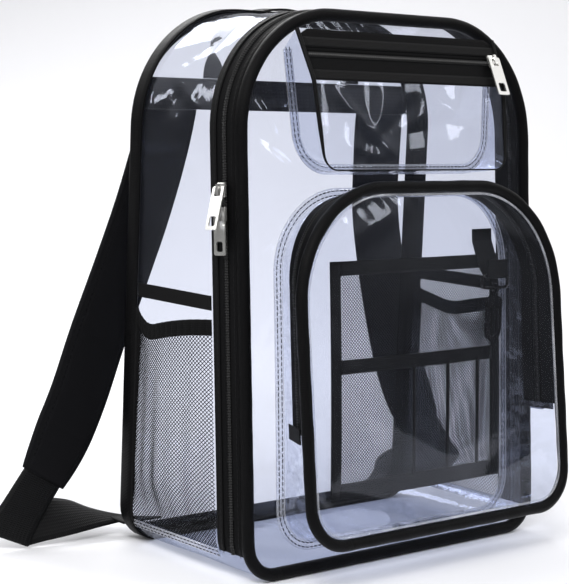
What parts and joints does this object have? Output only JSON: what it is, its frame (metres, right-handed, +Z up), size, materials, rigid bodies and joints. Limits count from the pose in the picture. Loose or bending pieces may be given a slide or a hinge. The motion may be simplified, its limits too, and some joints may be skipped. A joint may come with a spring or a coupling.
{
  "type": "clear backpack",
  "caption": "Clear plastic backpack with black bindings, two zipped front pockets, side net pockets, a key clip, a grab handle and padded shoulder straps.",
  "frame": {"origin": "middle of the flat base", "axes": "+Z up, the front faces -Y, +X is the wearer's right seen from behind the bag"},
  "size_m": [0.5386, 0.2595, 0.4342],
  "materials": {
    "clear_pvc": "clear PVC film, glossy, slightly hazy",
    "clear_side": "clear PVC film, glossy, slightly hazy",
    "clear_base": "clear PVC film, glossy, slightly hazy",
    "clear_pocket": "clear PVC film, glossy, slightly hazy",
    "clear_pocket_side": "clear PVC film, glossy, slightly hazy",
    "clear_seam": "clear PVC film, glossy, slightly hazy",
    "black_binding": "piping in coated tape",
    "black_tape": "woven binding tape",
    "zip_tape": "woven zipper tape",
    "zip_tape_wide": "woven zipper tape with a binding strip",
    "zip_coil": "nylon coil",
    "black_net": "knitted mesh",
    "elastic": "woven elastic",
    "black_trim": "woven trim",
    "webbing": "ribbed polypropylene webbing",
    "key_webbing": "narrow webbing",
    "pad_cloth": "woven polyester over foam",
    "black_plastic": "moulded acetal",
    "nickel": "bright nickel plate",
    "nickel_pull": "bright nickel plate"
  },
  "bodies": {
    "bag": {"anchor_band": "webbing", "back_binding": "black_tape", "back_panel": "clear_pvc", "bottom_panel": "clear_base", "clear_gusset": "clear_side", "front_binding": "black_binding", "front_panel": "clear_pvc", "grab_handle": "webbing", "key_ring": "black_plastic", "key_strap": "key_webbing", "organizer_band_base": "black_trim", "organizer_band_middle": "black_trim", "organizer_band_top": "black_trim", "organizer_divider_1": "black_trim", "organizer_divider_2": "black_trim", "organizer_divider_3": "black_trim", "organizer_net": "black_net", "organizer_trim_left": "black_trim", "organizer_trim_right": "black_trim", "pocket_binding": "black_binding", "pocket_coil": "zip_coil", "pocket_flange": "clear_seam", "pocket_front": "clear_pocket", "pocket_gusset_arch": "clear_pocket_side", "pocket_gusset_base": "clear_pocket_side", "pocket_slider": "nickel", "pocket_tape_inner": "zip_tape", "pocket_tape_outer": "zip_tape", "pocket_zip_end_left": "black_trim", "pocket_zip_end_right": "black_trim", "side_band_left": "elastic", "side_band_right": "elastic", "side_net_left": "black_net", "side_net_right": "black_net", "side_trim_left": "black_trim", "side_trim_right": "black_trim", "strap_pad_left": "pad_cloth", "strap_pad_right": "pad_cloth", "strap_webbing_left": "webbing", "strap_webbing_right": "webbing", "swivel_eye": "black_plastic", "top_coil": "zip_coil", "top_face": "clear_pocket", "top_flange": "clear_seam", "top_gusset": "clear_pocket_side", "top_slider": "nickel", "top_tape_lower": "zip_tape_wide", "top_tape_upper": "zip_tape_wide", "zip_coil": "zip_coil", "zip_slider_lower": "nickel", "zip_slider_upper": "nickel", "zip_tape_front": "zip_tape", "zip_tape_rear": "zip_tape_wide"},
    "upper_pull": {"zip_pull_upper": "nickel_pull"},
    "lower_pull": {"zip_pull_lower": "nickel_pull"},
    "lower_pocket_pull": {"pocket_pull": "nickel_pull"},
    "top_pocket_pull": {"top_pull": "nickel_pull"},
    "hook": {"snap_hook": "black_plastic"},
    "gate": {"hook_gate": "black_plastic"}
  },
  "joints": [
    {"name": "upper_pull_hinge", "type": "hinge", "parent": "bag", "child": "upper_pull", "pos_m": [-0.16342, -0.0391, 0.29379], "axis": [0, 0.9965, -0.0834], "range_deg": [0, 135]},
    {"name": "lower_pull_hinge", "type": "hinge", "parent": "bag", "child": "lower_pull", "pos_m": [-0.16342, -0.04061, 0.27579], "axis": [0, 0.9965, -0.0834], "range_deg": [0, 25]},
    {"name": "lower_pocket_pull_hinge", "type": "hinge", "parent": "bag", "child": "lower_pocket_pull", "pos_m": [0.13865, -0.09879, 0.1418], "axis": [0.3762, -0.9265, 0], "range_deg": [0, 150]},
    {"name": "top_pocket_pull_hinge", "type": "hinge", "parent": "bag", "child": "top_pocket_pull", "pos_m": [0.08917, -0.06861, 0.39842], "axis": [-1, 0, 0], "range_deg": [0, 150]},
    {"name": "hook_swivel", "type": "hinge", "parent": "bag", "child": "hook", "pos_m": [0.098, -0.08058, 0.2046], "axis": [0, 0, 1], "continuous": true},
    {"name": "gate_hinge", "type": "hinge", "parent": "hook", "child": "gate", "pos_m": [0.0912, -0.08058, 0.19372], "axis": [0, -1, 0], "range_deg": [0, 25], "stiffness_Nm_per_rad": 0.02}
  ]
}
